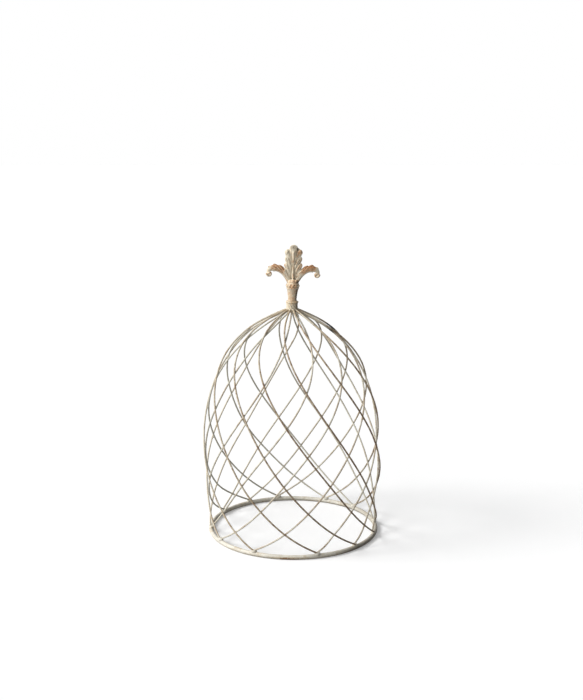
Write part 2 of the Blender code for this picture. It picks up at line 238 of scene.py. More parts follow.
def agedPaintAndShadeGroup(patchMask):  # cream paint over iron, with blotches, warm stain, rust, and grime that also carries painted shade
    look = agedAndShadeLook
    tree, given, result = newGroup(
        "agedPaintAndShade",
        {"Vector": ["Place"], "Color": ["Paint", "Stain", "Rust", "GrimeAndShade"],
         "Float": ["Scale", "Stain Amount", "Rust Amount", "HollowAndShade", "Proud"]},
        {"Color": ["Color"], "Float": ["Roughness", "Height"]})
    place = given["Place"]
    scale = given["Scale"]
    blotch = noise(tree, place, multiply(tree, scale, look["blotchScale"]), *look["blotch"])
    speck = noise(tree, place, multiply(tree, scale, look["speckScale"]), *look["speck"])
    shift = addNode(tree, "ShaderNodeVectorMath", {0: place, 1: look["rustShift"]}, operation="ADD")
    masks = {}
    for name, spot in (("Stain", place), ("Rust", shift.outputs[0])):
        proudPart = multiply(tree, given["Proud"], look[name]["proud"])
        values = {
            "Place": spot, "Scale": multiply(tree, scale, look[name]["scale"]),
            "Amount": add(tree, given[f"{name} Amount"], proudPart), "Edge": look[name]["edge"],
        }
        masks[name] = addNode(tree, "ShaderNodeGroup", values, node_tree=patchMask).outputs[0]
    shade = mapRange(tree, blotch, look["shadeFrom"], look["shadeTo"])
    paint = mixColour(tree, 1.0, given["Paint"], shade, "MULTIPLY")
    stained = mixColour(tree, masks["Stain"], paint, given["Stain"])
    rusted = mixColour(tree, masks["Rust"], stained, given["Rust"])
    # darkening by the hollow mask: grime in hollows, and painted shade stored in the same mask
    darkening = multiply(tree, given["HollowAndShade"], mapRange(tree, blotch, look["darkeningFrom"], look["darkeningTo"]), True)
    darkened = mixColour(tree, darkening, rusted, given["GrimeAndShade"])
    grain = mapRange(tree, speck, look["grainFrom"], look["grainTo"])
    final = mixColour(tree, 1.0, darkened, grain, "MULTIPLY")
    rough = add(tree, look["rough"], multiply(tree, masks["Rust"], look["rustRough"]))
    rough = add(tree, rough, multiply(tree, darkening, look["darkeningRough"]), True)
    height = mathNode(tree, "SUBTRACT", multiply(tree, speck, look["speckHeight"]), masks["Rust"])
    height = add(tree, height, multiply(tree, blotch, look["blotchHeight"]))
    for name, value in (("Color", final), ("Roughness", rough), ("Height", height)):
        tree.links.new(value, result.inputs[name])
    return tree


patchMask = patchMaskGroup()
agedPaintAndShade = agedPaintAndShadeGroup(patchMask)

# the pale colour serves pooled paint and a painted highlight; the near-black one is a painted shadow
wireMarks = {"freshAndLit": tint(214, 204, 182), "shoulderShadow": tint(16, 15, 13), "scale": 45, "bump": 0.00015}
# each grime colour is also the colour of that finish's painted shade
paints = {
    "ringPaint": {
        "paint": tint(220, 215, 202), "stain": tint(202, 190, 168), "rust": tint(150, 116, 86),
        "grimeAndShade": tint(92, 82, 66), "scale": 60, "stained": 0.36, "rusted": 0.08, "bump": 0.0002,
    },
    # the outer layer is painted darker and browner than the inner: partly heavier weathering, partly painted
    # shade
    "outerWirePaint": {
        "paint": tint(206, 197, 178), "stain": tint(177, 159, 133), "rust": tint(136, 112, 91),
        "grimeAndShade": tint(98, 86, 72), "stained": 0.50, "rusted": 0.30, **wireMarks,
    },
    "innerWirePaint": {
        "paint": tint(212, 207, 191), "stain": tint(185, 170, 149), "rust": tint(147, 126, 105),
        "grimeAndShade": tint(106, 96, 82), "stained": 0.38, "rusted": 0.15, **wireMarks,
    },
    "collarPaint": {
        "paint": tint(226, 212, 187), "stain": tint(216, 187, 149), "rust": tint(166, 128, 90),
        "grimeAndShade": tint(92, 76, 56), "scale": 150, "stained": 0.42, "rusted": 0.14, "bump": 0.00022,
    },
    "finialPaint": {
        "paint": tint(236, 224, 200), "stain": tint(222, 188, 152), "rust": tint(180, 130, 90),
        "grimeAndShade": tint(76, 56, 36), "scale": 130, "stained": 0.26, "rusted": 0.10, "bump": 0.0003,
    },
}
paintRules = {
    "hollowAndShade": (0.44, 0.12), "proud": (0.56, 0.90),  # relief where grime and painted shade, and wear, start and are full
    "weatherAndShadeWay": (3.6, -5.2, 0),  # the way towards the front right, for weathering and painted shade, with how much each metre adds
    "zone": {"Stain": 0.75, "Rust": 0.30},  # what a worn zone adds
    "pooledAndLitLess": 0.45,  # what pooled fresh paint and the painted highlight take away of both
    "bumpStrength": 0.8, "shine": 0.3,
}


def makePaint(name, weatherAndShadeSide=0.0, zone=False, marks=False):
    look = paints[name]
    rules = paintRules
    material = bpy.data.materials.new(name)
    material.use_nodes = True
    tree = material.node_tree
    shader = tree.nodes["Principled BSDF"].inputs
    place = addNode(tree, "ShaderNodeTexCoord").outputs["Object"]
    amounts = {"Stain": look["stained"], "Rust": look["rusted"]}
    paint = look["paint"]
    if weatherAndShadeSide:  # the side turned to the weather has lost more of its paint; this stain and rust on the front right is also painted shade
        facing = addNode(tree, "ShaderNodeVectorMath", {0: place, 1: rules["weatherAndShadeWay"]},
                         operation="DOT_PRODUCT")
        side = multiply(tree, facing.outputs["Value"], weatherAndShadeSide)
        amounts = {kind: add(tree, side, amount) for kind, amount in amounts.items()}
    if zone:
        worn = pointValue(tree, "rustZone")
        amounts = {kind: add(tree, multiply(tree, worn, rules["zone"][kind]), amount)
                   for kind, amount in amounts.items()}
    if marks:  # thick fresh paint pooled at the collar, and a painted highlight on the right shoulder
        pooledAndLit = pointValue(tree, "pooledAndLit")
        less = multiply(tree, pooledAndLit, rules["pooledAndLitLess"])
        paint = mixColour(tree, pooledAndLit, look["paint"], look["freshAndLit"])
        amounts = {kind: mathNode(tree, "SUBTRACT", amount, less) for kind, amount in amounts.items()}
    # the stored relief is lowered where shade is painted, so the hollow mask darkens those places too
    reliefAndShade = pointValue(tree, "reliefAndShade")
    values = {
        "Place": place, "Scale": look["scale"], "Paint": paint, "Stain": look["stain"], "Rust": look["rust"],
        "GrimeAndShade": look["grimeAndShade"], "Stain Amount": amounts["Stain"], "Rust Amount": amounts["Rust"],
        "HollowAndShade": mapRange(tree, reliefAndShade, rules["hollowAndShade"]), "Proud": mapRange(tree, reliefAndShade, rules["proud"]),
    }
    agedAndShaded = addNode(tree, "ShaderNodeGroup", values, node_tree=agedPaintAndShade).outputs
    values = {"Height": agedAndShaded["Height"], "Strength": rules["bumpStrength"], "Distance": look["bump"]}
    bump = addNode(tree, "ShaderNodeBump", values)
    colour = agedAndShaded["Color"]
    if marks:  # a painted shadow: one near-black stretch between gathered wires at the right shoulder
        colour = mixColour(tree, pointValue(tree, "shoulderShadowed"), colour, look["shoulderShadow"])
    tree.links.new(colour, shader["Base Color"])
    tree.links.new(agedAndShaded["Roughness"], shader["Roughness"])
    tree.links.new(bump.outputs[0], shader["Normal"])
    shader["Specular IOR Level"].default_value = rules["shine"]
    return material


finishes = {
    "ring": makePaint("ringPaint", zone=True),
    "outer": makePaint("outerWirePaint", weatherAndShadeSide=0.25, marks=True),
    "inner": makePaint("innerWirePaint", weatherAndShadeSide=0.15, marks=True),
    "collar": makePaint("collarPaint", zone=True),
    "finial": makePaint("finialPaint", zone=True),
}
print("finishes mixed:", ", ".join(finishes))


# Shared ways of working
def meshArrays(piece):
    mesh = piece.data
    points = np.empty(len(mesh.vertices) * 3)
    mesh.vertices.foreach_get("co", points)
    edges = np.empty(len(mesh.edges) * 2, dtype=int)
    mesh.edges.foreach_get("vertices", edges)
    normals = np.empty(len(mesh.vertices) * 3)
    mesh.vertex_normals.foreach_get("vector", normals)
    return points.reshape(-1, 3), edges.reshape(-1, 2), normals.reshape(-1, 3)


def ramp(values, low, high):  # from 0 at low to 1 at high
    share = np.clip((values - low) / (high - low), 0, 1)
    return share * share * (3 - 2 * share)


def band(values, rise, fall):  # 1 between a rise and a fall, 0 outside both
    return ramp(values, *rise) * (1 - ramp(values, *fall))


def fadeAround(points, place, reach, fade):  # 1 at a place, falling to 0 over a range of its reach
    return 1 - ramp(np.linalg.norm((points - place) / reach, axis=1), *fade)


def setPointValues(piece, name, values):
    attributes = piece.data.attributes
    attribute = attributes.get(name) or attributes.new(name, "FLOAT", "POINT")
    attribute.data.foreach_set("value", np.asarray(values, dtype=np.float32))


reliefRules = {
    "flat": 0.5,  # hollows lie below it and proud edges above it
    "shadedWay": np.array((0.95, 0, -0.31)), "shadedWayFrom": (0.40, 0.85),  # the side turned from the key light, which gets painted shade
    "blend": 0.7,
}


def shadedSide(normals, low, high):
    return ramp(normals @ reliefRules["shadedWay"], low, high)


def storeReliefAndShade(piece, steps, reach, shadedSideDark):  # how far points stand out of a smoothed copy, less painted shade on the side turned from the light
    points, edges, normals = meshArrays(piece)
    smoothed = points.copy()
    ends = np.concatenate([edges[:, 0], edges[:, 1]])
    others = np.concatenate([edges[:, 1], edges[:, 0]])
    counts = np.maximum(np.bincount(ends, minlength=len(points)), 1)
    blend = reliefRules["blend"]
    for _ in range(steps):
        total = [np.bincount(ends, weights=smoothed[others, axis], minlength=len(points))
                 for axis in range(3)]
        smoothed = (1 - blend) * smoothed + blend * np.stack(total, 1) / counts[:, None]
    rise = ((points - smoothed) * normals).sum(1)
    # painted shade on the side turned from the light
    darkened = shadedSideDark * shadedSide(normals, *reliefRules["shadedWayFrom"])
    reliefAndShade = np.clip(reliefRules["flat"] + rise / reach - darkened, 0, 1)
    setPointValues(piece, "reliefAndShade", reliefAndShade)
    return reliefAndShade


def selectOnly(pieces):
    bpy.ops.object.select_all(action="DESELECT")
    for piece in pieces:
        piece.select_set(True)
    bpy.context.view_layer.objects.active = pieces[0]


def joinPieces(pieces, name):
    selectOnly(pieces)
    bpy.ops.object.join()
    pieces[0].name = name
    pieces[0].data.name = name
    return pieces[0]


def applyModifier(piece, name, kind, **settings):
    selectOnly([piece])
    modifier = piece.modifiers.new(name, kind)
    for key, value in settings.items():
        setattr(modifier, key, value)
    bpy.ops.object.modifier_apply(modifier=modifier.name)


def roughen(piece, name, scale, depth):  # a cloudy unevenness of the skin
    skin = bpy.data.textures.new(name, "CLOUDS")
    skin.noise_scale = scale
    applyModifier(piece, name, "DISPLACE", texture=skin, strength=depth, texture_coords="LOCAL")


def finishPiece(piece, finish, nodes=(), angle=None):
    selectOnly([piece])
    bpy.ops.object.transform_apply(location=True, rotation=True, scale=True)
    if angle:
        bpy.ops.object.shade_smooth_by_angle(angle=math.radians(angle))
    else:
        bpy.ops.object.shade_smooth()
    piece.data.materials.clear()
    piece.data.materials.append(finishes[finish])
    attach(piece, "root")
    if nodes:
        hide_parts(*nodes)


def startEdit():
    bpy.ops.object.mode_set(mode="EDIT")
    bpy.ops.mesh.select_all(action="SELECT")


def endEdit():
    bpy.ops.object.mode_set(mode="OBJECT")


def tubeAlong(name, points, radii, sides):  # a round rod of changing radius along a line of points
    bpy.ops.curve.primitive_nurbs_path_add()
    rod = bpy.context.object
    rod.name = name
    rod.location = (0, 0, 0)
    curve = rod.data
    curve.splines.clear()
    spline = curve.splines.new("POLY")
    spline.points.add(len(points) - 1)
    for mark, point, radius in zip(spline.points, points, radii):
        mark.co = (*point, 1)
        mark.radius = radius
    curve.dimensions = "3D"
    curve.twist_mode = "MINIMUM"
    curve.bevel_depth = 1
    curve.bevel_resolution = sides
    curve.use_fill_caps = True
    bpy.ops.object.convert(target="MESH")
    startEdit()
    bpy.ops.mesh.remove_doubles(threshold=0.000001)
    bpy.ops.mesh.normals_make_consistent(inside=False)
    endEdit()
    return bpy.context.object


# Base ring
ringShape = {
    "rod": ringSize.z / 2, "radius": (ringSize.x - ringSize.z) / 2,
    "around": 288, "sides": 24, "smoothBelow": 40,
    # painted shade under the rod, on its outside where it faces from the light, and towards the right; the
    # stain below is stain
    "below": (0.0010, 0.0042), "belowShade": 0.2, "belowStain": 0.5,
    "outside": (0.02, 0.10), "outsideShadedWay": (0.2, 0.8), "outsideShade": 0.2,
    "right": (0.06, 0.12), "rightDarker": 0.17,
    "wornAt": -0.012, "wornReach": 0.026, "wornBelow": (0.0030, 0.0066), "wornStain": 1.8,
}


def makeRing():
    shape = ringShape
    bpy.ops.mesh.primitive_torus_add(major_radius=shape["radius"], minor_radius=shape["rod"],
                                     major_segments=shape["around"], minor_segments=shape["sides"],
                                     location=ringMiddle)
    ring = bpy.context.object
    ring.name = "ring_rod"
    bpy.ops.object.transform_apply(location=True)
    points, _, normals = meshArrays(ring)
    x, y, z = points.T
    below = 1 - ramp(z, *shape["below"])
    outside = ramp(x, *shape["outside"]) * shadedSide(normals, *shape["outsideShadedWay"])
    # painted shade under the rod, on its shaded outside and towards the right
    darkening = shape["belowShade"] * below + shape["outsideShade"] * outside
    darkening += shape["rightDarker"] * ramp(x, *shape["right"])
    setPointValues(ring, "reliefAndShade", reliefRules["flat"] - darkening)
    fromWorn = (x - ringMiddle.x - shape["wornAt"]) / shape["wornReach"]
    worn = np.exp(-fromWorn ** 2) * (y < 0) * (1 - ramp(z, *shape["wornBelow"]))
    zone = np.maximum(shape["wornStain"] * worn, shape["belowStain"] * below)
    setPointValues(ring, "rustZone", zone)
    finishPiece(ring, "ring", ["base_ring"], shape["smoothBelow"])


makeRing()
print("base ring made")


# Dome wires, on the same lines as the frame's
domeShape = {
    "ringRadius": ringShape["radius"], "footHeight": 0.0058, "footRise": 0.060,
    "bellyRadius": 0.1575, "bellyHeight": 0.133, "bellyDrop": 0.040, "bellyRise": 0.188,
    "neckRadius": 0.010, "neckHeight": 0.4035, "neckReach": 0.090, "neckSlope": math.radians(23.5),
    "crownHeight": 0.405, "neckLean": -0.0024, "sway": -0.0045, "swayPower": 6,
    "feet": (7, 40, 65, 101, 124, 151, 187, 211, 243, 286, 316, 343),
    "footSweep": 0.165, "footSweepHeight": 0.10, "unwindPower": 6, "bendReach": 0.4,
    "wire": 0.003, "gap": 0.0033, "tuck": 0.00014,  # drawn in, so that nothing stands out of the frame
    "climbBend": 0.003, "climbHeight": 0.0121, "climbSweep": -42, "climbBendSteps": 8, "climbSteps": 6,
}
layers = {  # side of the profile, where the first wire aims at the neck and how far wires turn back there
    "outer": {"side": 1, "aim": -107, "unwind": 0},
    "inner": {"side": -1, "aim": 131, "unwind": -14},
}
handBends = {  # wires bent out of line: share of the height where each strays most, and degrees
    ("outer", 6): [(0.15, 3)],
    ("outer", 7): [(0.4, -9), (0.8, -5)],
    ("outer", 8): [(0.6, -7)],
    ("outer", 10): [(0.6, 3)],
    ("outer", 11): [(0.65, 3)],
    ("inner", 1): [(0.9, -8)],
    ("inner", 3): [(0.7, -7)],
    ("inner", 5): [(0.15, 4), (0.87, -5)],
    ("inner", 7): [(0.7, 3)],
    ("inner", 8): [(0.7, 3)],
    ("inner", 9): [(0.7, 3)],
    ("inner", 10): [(0.08, -4)],
    ("inner", 11): [(0.12, -6), (0.65, 6)],
}
wireLook = {
    "stations": 120, "sides": 4, "smoothBelow": 50, "uneven": 0.02, "wave": 0.55, "footDip": 0.0022,
    # painted shade: wires at the collar darker on the side turned from the light and on the right, and low
    # wires darker on the right
    "pooledAndLit": (0.4085, 0.4125), "shadedWay": (0.3, 0.9), "shadedWayDark": 0.22, "neckRight": (0.0045, 0.0095),
    "neckShade": 0.34, "lowRight": (0.06, 0.12), "lowBelow": (0.10, 0.18), "lowShade": 0.17,
    # a painted highlight: a paler spot on the wires of the right shoulder
    "litAt": (0.038, -0.008, 0.394), "litReach": (0.034, 0.030, 0.022), "litFade": (0.5, 1),
    "litShare": 0.6,
    # a painted shadow between gathered wires at the right shoulder
    "shoulderShadowAt": (0.068, 0.0285, 0.3718), "shoulderShadowReach": (0.0125, 0.044, 0.013), "shoulderShadowFade": (0.8, 1.1),
}


def domeProfile(count=241):  # radius, height and outward normal from foot to neck
    d = domeShape
    foot = Vector((d["ringRadius"], d["footHeight"]))
    belly = Vector((d["bellyRadius"], d["bellyHeight"]))
    neck = Vector((d["neckRadius"], d["neckHeight"]))
    reach = d["neckReach"] * Vector((math.cos(d["neckSlope"]), -math.sin(d["neckSlope"])))
    footHandle = foot + Vector((0, d["footRise"]))
    lower = interpolate_bezier(foot, footHandle, belly - Vector((0, d["bellyDrop"])), belly, count)
    upper = interpolate_bezier(belly, belly + Vector((0, d["bellyRise"])), neck + reach, neck, count)
    line = list(lower) + list(upper[1:])
    profile = []
    for i, point in enumerate(line):
        along = line[min(i + 1, len(line) - 1)] - line[max(i - 1, 0)]
        profile.append((point, Vector((along.y, -along.x)).normalized()))
    return profile


def shareOf(point):  # share of the dome's height
    d = domeShape
    return (point.y - d["footHeight"]) / (d["neckHeight"] - d["footHeight"])


def sweepAt(share):
    d = domeShape
    return (1 - d["footSweep"]) * share + d["footSweep"] * (1 - math.exp(-share / d["footSweepHeight"]))


def swell(share, peak):  # from 0 at the foot to 1 at its peak and back to 0 at the neck
    room = peak if share < peak else 1 - peak
    away = abs(share - peak) / min(room, domeShape["bendReach"])
    return (1 + math.cos(math.pi * min(away, 1))) / 2


def aimOf(layer, number):
    return layers[layer]["aim"] + (number - 1) * 360 / len(domeShape["feet"])


def azimuthAt(share, layer, number):
    foot = domeShape["feet"][number - 1]
    degrees = foot + (aimOf(layer, number) - foot) * sweepAt(share)
    degrees += layers[layer]["unwind"] * share ** domeShape["unwindPower"]
    for peak, stray in handBends.get((layer, number), ()):
        degrees += stray * swell(share, peak)
    return math.radians(degrees)


def aroundRing(azimuth, radius, height, lean=0.0):
    spot = Vector((lean + radius * math.cos(azimuth), radius * math.sin(azimuth), height))
    return spot + ringMiddle


def domePoint(point, normal, azimuth, offset):
    d = domeShape
    share = shareOf(point)
    lean = d["neckLean"] * share + d["sway"] * share * (1 - share ** d["swayPower"])
    return aroundRing(azimuth, point.x + offset * normal.x, point.y + offset * normal.y, lean)


def wireLine(profile, layer, number):
    offset = layers[layer]["side"] * domeShape["gap"] / 2 - domeShape["tuck"]
    return [domePoint(point, normal, azimuthAt(shareOf(point), layer, number), offset)
            for point, normal in profile]


def climbLine(top):  # an outer wire's end: it turns up at the neck and winds up the collar
    d = domeShape
    slope = d["neckSlope"]
    outward = Vector((math.sin(slope), math.cos(slope)))
    start = Vector((d["neckRadius"], d["neckHeight"])) + (d["gap"] / 2 - d["tuck"]) * outward
    centre = start + d["climbBend"] * outward
    section = []
    for i in range(1, d["climbBendSteps"] + 1):
        angle = slope + (math.pi / 2 - slope) * i / d["climbBendSteps"]
        section.append(centre - d["climbBend"] * Vector((math.sin(angle), math.cos(angle))))
    foot = section[-1].copy()
    climb = d["neckHeight"] + d["climbHeight"] - foot.y
    for i in range(1, d["climbSteps"] + 1):
        section.append(Vector((foot.x, foot.y + climb * i / d["climbSteps"])))
    line = []
    for place in section:
        share = (place.y - start.y) / (section[-1].y - start.y)
        azimuth = math.radians(top + d["climbSweep"] * share)
        line.append(aroundRing(azimuth, place.x, place.y, d["neckLean"]))
    return line


def evenly(line, count):  # the same line with evenly spaced points
    lengths = [0.0]
    for before, after in zip(line, line[1:]):
        lengths.append(lengths[-1] + (after - before).length)
    spread = []
    k = 0
    for i in range(count):
        goal = lengths[-1] * i / (count - 1)
        while k < len(lengths) - 2 and lengths[k + 1] < goal:
            k += 1
        share = (goal - lengths[k]) / (lengths[k + 1] - lengths[k])
        spread.append(line[k].lerp(line[k + 1], share))
    return spread


def paintWireWearAndLight(wire):
    look = wireLook
    points, _, normals = meshArrays(wire)
    x, _, z = points.T
    pooledAndLit = ramp(z, *look["pooledAndLit"])
    across = x - ringMiddle.x - domeShape["neckLean"]
    # painted shade at the collar on the side turned from the light and on the right, and low down on the
    # right
    darkening = look["shadedWayDark"] * shadedSide(normals, *look["shadedWay"])
    darkening += look["neckShade"] * ramp(across, *look["neckRight"])
    low = ramp(x, *look["lowRight"]) * (1 - ramp(z, *look["lowBelow"]))
    setPointValues(wire, "reliefAndShade", reliefRules["flat"] - pooledAndLit * darkening - look["lowShade"] * low)
    # a painted highlight on the right shoulder, stored with the paint pooled at the collar
    freshAndLit = fadeAround(points, look["litAt"], look["litReach"], look["litFade"])
    setPointValues(wire, "pooledAndLit", np.maximum(pooledAndLit, look["litShare"] * freshAndLit))
    # a near-black painted shadow between gathered wires at the right shoulder
    shoulderShadowed = fadeAround(points, look["shoulderShadowAt"], look["shoulderShadowReach"], look["shoulderShadowFade"])
    setPointValues(wire, "shoulderShadowed", shoulderShadowed)


def makeWire(profile, layer, number):
    look = wireLook
    line = evenly(wireLine(profile, layer, number), look["stations"])
    line = [line[0] - Vector((0, 0, look["footDip"]))] + line  # the foot runs down into its weld
    if layer == "outer":
        line += climbLine(aimOf(layer, number))
    random.seed(f"{layer}{number}")
    phase = random.uniform(0, math.tau)
    radii = [domeShape["wire"] / 2 * (1 + look["uneven"] * math.sin(phase + k * look["wave"]))
             for k in range(len(line))]
    wire = tubeAlong(f"{layer}_wire_look_{number:02d}", line, radii, look["sides"])
    paintWireWearAndLight(wire)
    finishPiece(wire, layer, [f"{layer}_wire_{number:02d}"], look["smoothBelow"])


domeLine = domeProfile()
for layer in layers:
    for number in range(1, len(domeShape["feet"]) + 1):
        makeWire(domeLine, layer, number)
print("dome wires made")


# Shapes that are turned, and limbs that taper, in mm
rodShape = {
    "limbSteps": 14, "limbSides": 5, "tipDegrees": (20, 38, 54, 68, 80, 87),
    "scrollSteps": 48, "scrollSides": 4, "knobSegments": 24, "knobRings": 12,
}


def turnedRows(name, rows, sides):  # rows of (radius, height), from the bottom up
    bpy.ops.mesh.primitive_circle_add(vertices=sides, radius=rows[0][0] / 1000, fill_type="NGON",
                                      location=(0, 0, rows[0][1] / 1000))
    piece = bpy.context.object
    piece.name = name
    bpy.ops.object.transform_apply(location=True)
    startEdit()
    for (radius, height), (newRadius, newHeight) in zip(rows, rows[1:]):
        rise = (newHeight - height) / 1000
        bpy.ops.mesh.extrude_region_move(TRANSFORM_OT_translate={"value": (0, 0, rise)})
        grow = newRadius / radius
        bpy.ops.transform.resize(value=(grow, grow, 1))
    bpy.ops.mesh.select_all(action="DESELECT")
    bpy.ops.mesh.select_non_manifold()
    bpy.ops.mesh.edge_face_add()
    bpy.ops.mesh.select_all(action="SELECT")
    bpy.ops.mesh.normals_make_consistent(inside=False)
    endEdit()
    return piece


def flatten(piece, flat):
    startEdit()
    bpy.ops.transform.resize(value=(1, flat, 1), center_override=(0, 0, 0))
    endEdit()
    return piece


def limb(root, bend, tip, rootRadius, tipRadius, flat, forward=0.0):  # a flattened finger with a round tip
    start, middle, end = (Vector(spot) for spot in (root, bend, tip))
    points = []
    radii = []
    for i in range(rodShape["limbSteps"] + 1):
        share = i / rodShape["limbSteps"]
        points.append((1 - share) ** 2 * start + 2 * share * (1 - share) * middle + share ** 2 * end)
        radii.append(rootRadius + (tipRadius - rootRadius) * share)
    ahead = (end - middle).normalized()
    for degrees in rodShape["tipDegrees"]:
        angle = math.radians(degrees)
        points.append(end + ahead * tipRadius * math.sin(angle))
        radii.append(tipRadius * math.cos(angle))
    reach = len(points) - 1
    route = [(p.x / 1000, -forward * (i / reach) ** 2 / 1000 / flat, p.y / 1000)
             for i, p in enumerate(points)]
    rod = tubeAlong("limb", route, [radius / 1000 for radius in radii], rodShape["limbSides"])
    return flatten(rod, flat)


def knob(x, forward, height, radius, depth):
    bpy.ops.mesh.primitive_uv_sphere_add(segments=rodShape["knobSegments"], ring_count=rodShape["knobRings"],
                                         radius=radius / 1000,
                                         location=(x / 1000, -forward / 1000, height / 1000))
    piece = bpy.context.object
    piece.scale = (1, depth / radius, 1)
    bpy.ops.object.transform_apply(location=True, rotation=True, scale=True)
    return piece


def scroll(centre, outer, inner, turns, startDegrees, thick, thin, flat):  # a rod wound into its own middle
    route = []
    radii = []
    for i in range(rodShape["scrollSteps"] + 1):
        share = i / rodShape["scrollSteps"]
        angle = math.radians(startDegrees - 360 * turns * share)
        reach = outer + (inner - outer) * share
        x = centre[0] + reach * math.cos(angle)
        height = centre[1] + reach * math.sin(angle)
        route.append((x / 1000, 0, height / 1000))
        radii.append((thick + (thin - thick) * share) / 1000)
    return flatten(tubeAlong("scroll", route, radii, rodShape["scrollSides"]), flat)


# Cast leaf finial, in mm about the crown; a limb has a root, bend, tip, two radii and a flatness
finialShape = {
    "crown": ringMiddle + Vector((domeShape["neckLean"], 0, domeShape["crownHeight"])),
    "lean": math.radians(1.75),
    "voxel": 0.0004, "softenings": 3, "skinScale": 0.0022, "skinDepth": 0.00028,
    "stem": (
        (7.8, 15.55), (7.6, 16.6), (7.7, 19), (8.1, 23), (8.8, 29), (9.7, 34), (10.4, 36.8), (11.1, 37.7),
        (11.5, 38.5), (11.4, 39.2), (10.6, 39.8), (10.5, 41.4), (10.5, 43), (10.4, 44.3), (11.1, 44.9),
        (11.1, 45.6), (10.5, 46.3), (9.8, 46.8), (9.6, 48), (9.6, 50), (8.6, 52), (5, 53.5)),
    "stemSides": 72,
    "spigot": ((4.2, 7.5), (4.2, 16)), "spigotSides": 32,
    "beads": 11, "bead": (0, 9.7, 42, 2.7, 2.7),
    "petals": 10, "petal": ((0, 46.5), (0, 50), (0, 52.6), 2, 1.9, 0.55), "petalOut": 8.6, "petalTilt": -8,
    "middle": (
        ((0, 56), (0, 80), (0, 106.6), 3.5, 7.8, 0.52),
        ((0, 47), (0, 60), (0, 80), 2.6, 1.2, 2.1),
        ((0, 78), (0, 90), (0, 102), 1.2, 2.1, 2.45),
    ),
    "leftEdge": (
        ((-9, 70), (-10.2, 85), (-10.3, 99.5), 3.8, 4.3, 0.52),
        ((-6, 56), (-8.2, 78), (-7.4, 97), 4, 6.4, 0.50),
    ),
    "right": (
        ((1.5, 66), (5, 90), (9.8, 100.4), 2.5, 6.1, 0.52),
        ((2.5, 57), (5.5, 78), (9.6, 89), 3, 6, 0.54),
        ((4, 49), (7, 66), (11, 77.6), 3.5, 5.3, 0.58),
        ((5, 48), (8.5, 60), (15, 67.5), 1.9, 2.7, 1.5),
    ),
    "gapShadowFiller": (8, -0.4, 105.4, 3, 1.8),  # a filler knob behind the gap at the top right, painted dark as the gap's shadow
    "button": (11.2, 2.5, 102.6, 2.4, 2),  # the curled end of a top lobe
    "armRise": ((6, 49.5), (12, 63), (22, 72.6), (32, 72.6)), "riseSteps": 18,
    "armCurl": ((32, 72.6), (39, 72.6), (43.9, 70), (43.9, 63.5)), "curlSteps": 12,
    "armRadius": (4.8, 6.1, 2.5), "armFlat": 0.66,
    "leaflets": ((24.5, 75.2), (33, 77), (41.2, 73)),
    "leaflet": (  # limbs beside each leaflet's tip
        ((-9, -6), (-4.5, -0.6), (0, 0), 2.2, 3.2, 0.7),
        ((-10, -5.5), (-7, -3.2), (-2.6, -2.6), 1.6, 2.1, 1, 2.6),
    ),
    "volute": (41.6, 62.2), "scroll": (4.2, 0.5, 1.3, 12, 2.3, 1.6, 1.9), "voluteCore": (4.1, 1.7),
}
grooveShape = {
    "steps": 40, "taper": 9, "overrun": 1.04, "least": 0.01,
    "facing": (0.15, 0.55), "leafEdge": (14.5, 17), "rightHalf": (-0.5, 0.5), "armOnLeaf": 0.6,
    "leftSoftness": 0.7, "leftSoftFrom": (2, 4.5),
}
carving = {  # grooves beside the leaf's middle and on the arms: points, depth and width
    "leaf": (
        (((3.6, 49.5), (3.9, 61), (3.2, 71), (1, 80.5)), 2, 1.05),
        (((1, 80.5), (2.4, 89), (3.6, 96), (4, 104.5)), 1.3, 0.8),
        (((5.3, 93), (5.9, 99), (6.4, 104), (7.6, 108.5)), 2.2, 0.85),
        (((2.2, 77), (6, 88), (8.4, 94), (14.6, 96.4)), 1.6, 0.9),
        (((3.4, 68), (6.8, 76), (9.2, 81), (14.2, 84.2)), 1.6, 0.9),
        (((4.4, 58), (7.6, 66), (10.4, 71), (15.6, 73.6)), 1.5, 0.9),
    ),
    "leafRight": (
        (((6.4, 109), (7, 107.6), (7.6, 106), (8.4, 104)), 1.6, 1.2),
        (((4.4, 83), (6.6, 90), (9, 96), (10.6, 100)), 0.9, 0.7),
        (((4.8, 74), (7.6, 80), (9.6, 85), (12.4, 89.5)), 1.1, 0.75),
        (((5.6, 64), (9, 71), (11, 75), (13.4, 79.5)), 1.3, 0.75),
        (((5.2, 54), (9.2, 61), (12.4, 65), (16.4, 68.5)), 1.3, 0.75),
    ),
    "leafLeft": (
        (((8.2, 100.5), (8.4, 106.2), (13.6, 105.6), (12.8, 100.6)), 1.1, 0.7),
        (((5.6, 66), (8.4, 76), (10, 84), (11.6, 91)), 0.8, 0.7),
        (((6, 56), (9.8, 63), (11.6, 68), (13, 76)), 0.8, 0.7),
    ),
    "arm": (
        (((9, 55), (14, 64.5), (22, 70.6), (34, 71.6)), 1, 0.8),
        (((12, 62), (13.5, 66), (15, 70), (18, 75)), 1.1, 0.7),
        (((17, 67), (19.5, 71), (22.5, 74), (27, 78.4)), 1.3, 0.7),
        (((24, 70.5), (27.5, 73.5), (31, 76), (35.5, 80)), 1.3, 0.7),
        (((32, 71.6), (36, 73.5), (39, 74.5), (43.6, 76.4)), 1.2, 0.7),
    ),
}
